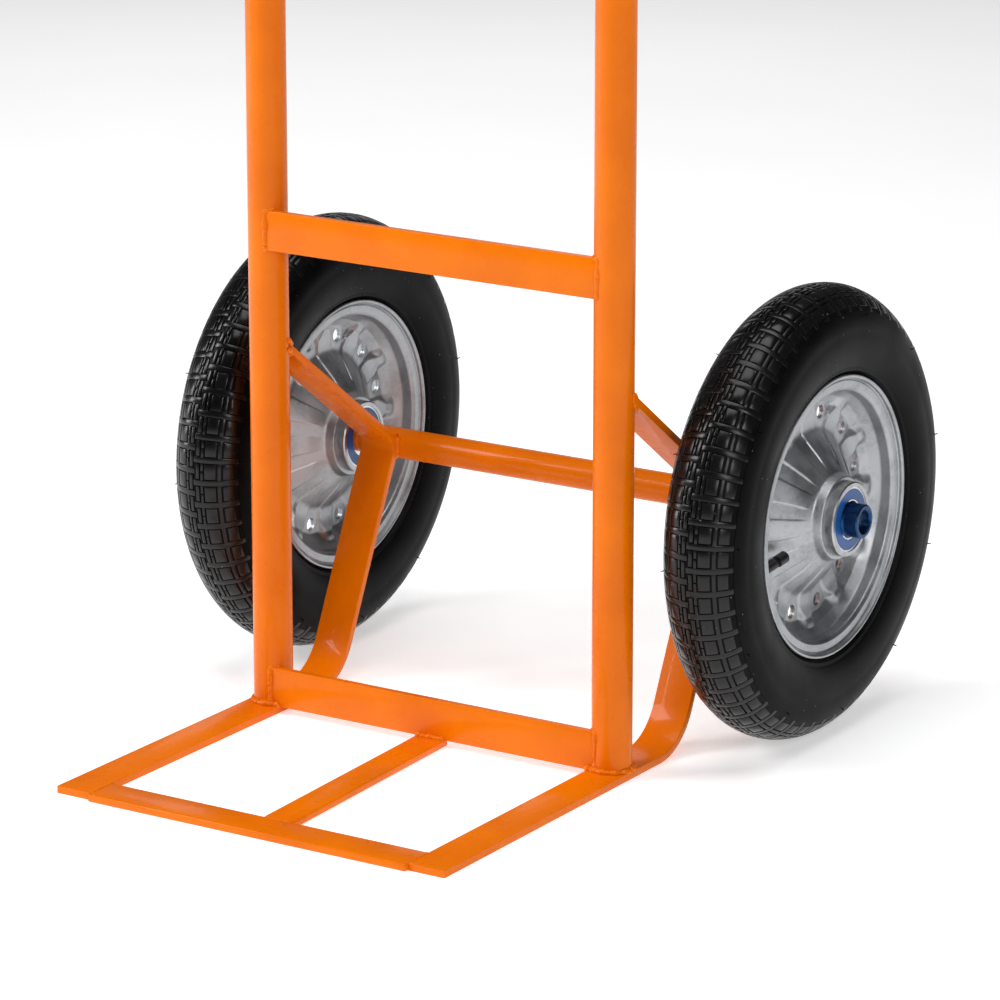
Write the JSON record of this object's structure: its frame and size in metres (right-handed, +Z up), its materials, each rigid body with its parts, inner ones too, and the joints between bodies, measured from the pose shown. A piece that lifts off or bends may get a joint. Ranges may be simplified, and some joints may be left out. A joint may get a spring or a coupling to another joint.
{
  "type": "hand truck",
  "caption": "Two-wheeled hand truck with an open toe frame, tubular uprights, rear handles and pneumatic wheels on ball bearings.",
  "frame": {"origin": "on the floor, under the middle of the truck's overall box, between the wheels", "axes": "+Z up along the uprights, -Y towards the load on the toe frame, +X to the right along the axle as seen from behind the load"},
  "size_m": [0.571, 0.6266, 1.1602],
  "materials": {
    "orange_paint": "glossy orange enamel over welded steel",
    "grip_rubber": "matt black moulded rubber",
    "axle_steel": "turned bright steel",
    "tyre_rubber": "black vulcanised rubber, satin side walls",
    "tube_rubber": "black butyl rubber",
    "galvanised_rim": "pressed galvanised sheet steel",
    "hub_steel": "bare grey steel tube",
    "bearing_steel": "ground bearing steel",
    "seal_blue": "blue moulded bearing seal",
    "blued_steel": "dark blue oxidised steel",
    "valve_plastic": "black moulded plastic"
  },
  "bodies": {
    "frame": {"upright_left": "orange_paint", "upright_right": "orange_paint", "grip_left": "grip_rubber", "grip_right": "grip_rubber", "side_bar_left": "orange_paint", "side_bar_right": "orange_paint", "lower_crossbar": "orange_paint", "mid_crossbar": "orange_paint", "upper_crossbar": "orange_paint", "toe_front_bar": "orange_paint", "toe_centre_bar": "orange_paint", "axle_tube": "orange_paint", "axle_rod": "axle_steel", "left_outer_bearing_inner_ring": "bearing_steel", "left_inner_bearing_inner_ring": "bearing_steel", "left_bearing_spacer": "axle_steel", "left_axle_collar": "blued_steel", "left_collar_screw": "blued_steel", "right_outer_bearing_inner_ring": "bearing_steel", "right_inner_bearing_inner_ring": "bearing_steel", "right_bearing_spacer": "axle_steel", "right_axle_collar": "blued_steel", "right_collar_screw": "blued_steel"},
    "wheel_left": {"left_tyre": "tyre_rubber", "left_inner_tube": "tube_rubber", "left_rim_outer_half": "galvanised_rim", "left_rim_inner_half": "galvanised_rim", "left_hub_shell": "hub_steel", "left_valve_stem": "tube_rubber", "left_valve_cap": "valve_plastic", "left_outer_bearing_outer_ring": "bearing_steel", "left_outer_bearing_seals": "seal_blue", "left_inner_bearing_outer_ring": "bearing_steel", "left_inner_bearing_seals": "seal_blue"},
    "balls_left": {"left_outer_bearing_ball_set": "bearing_steel", "left_inner_bearing_ball_set": "bearing_steel"},
    "wheel_right": {"right_tyre": "tyre_rubber", "right_inner_tube": "tube_rubber", "right_rim_outer_half": "galvanised_rim", "right_rim_inner_half": "galvanised_rim", "right_hub_shell": "hub_steel", "right_valve_stem": "tube_rubber", "right_valve_cap": "valve_plastic", "right_outer_bearing_outer_ring": "bearing_steel", "right_outer_bearing_seals": "seal_blue", "right_inner_bearing_outer_ring": "bearing_steel", "right_inner_bearing_seals": "seal_blue"},
    "balls_right": {"right_outer_bearing_ball_set": "bearing_steel", "right_inner_bearing_ball_set": "bearing_steel"}
  },
  "joints": [
    {"name": "wheel_left_spin", "type": "hinge", "parent": "frame", "child": "wheel_left", "pos_m": [-0.2305, 0.13075, 0.1825], "axis": [1, 0, 0], "continuous": true},
    {"name": "balls_left_spin", "type": "hinge", "parent": "frame", "child": "balls_left", "pos_m": [-0.2305, 0.13075, 0.1825], "axis": [1, 0, 0], "continuous": true},
    {"name": "wheel_right_spin", "type": "hinge", "parent": "frame", "child": "wheel_right", "pos_m": [0.2305, 0.13075, 0.1825], "axis": [1, 0, 0], "continuous": true},
    {"name": "balls_right_spin", "type": "hinge", "parent": "frame", "child": "balls_right", "pos_m": [0.2305, 0.13075, 0.1825], "axis": [1, 0, 0], "continuous": true}
  ],
  "couplings": [
    {"joint": "balls_left_spin", "follows": "wheel_left_spin", "ratio": 0.61},
    {"joint": "balls_right_spin", "follows": "wheel_right_spin", "ratio": 0.61}
  ]
}
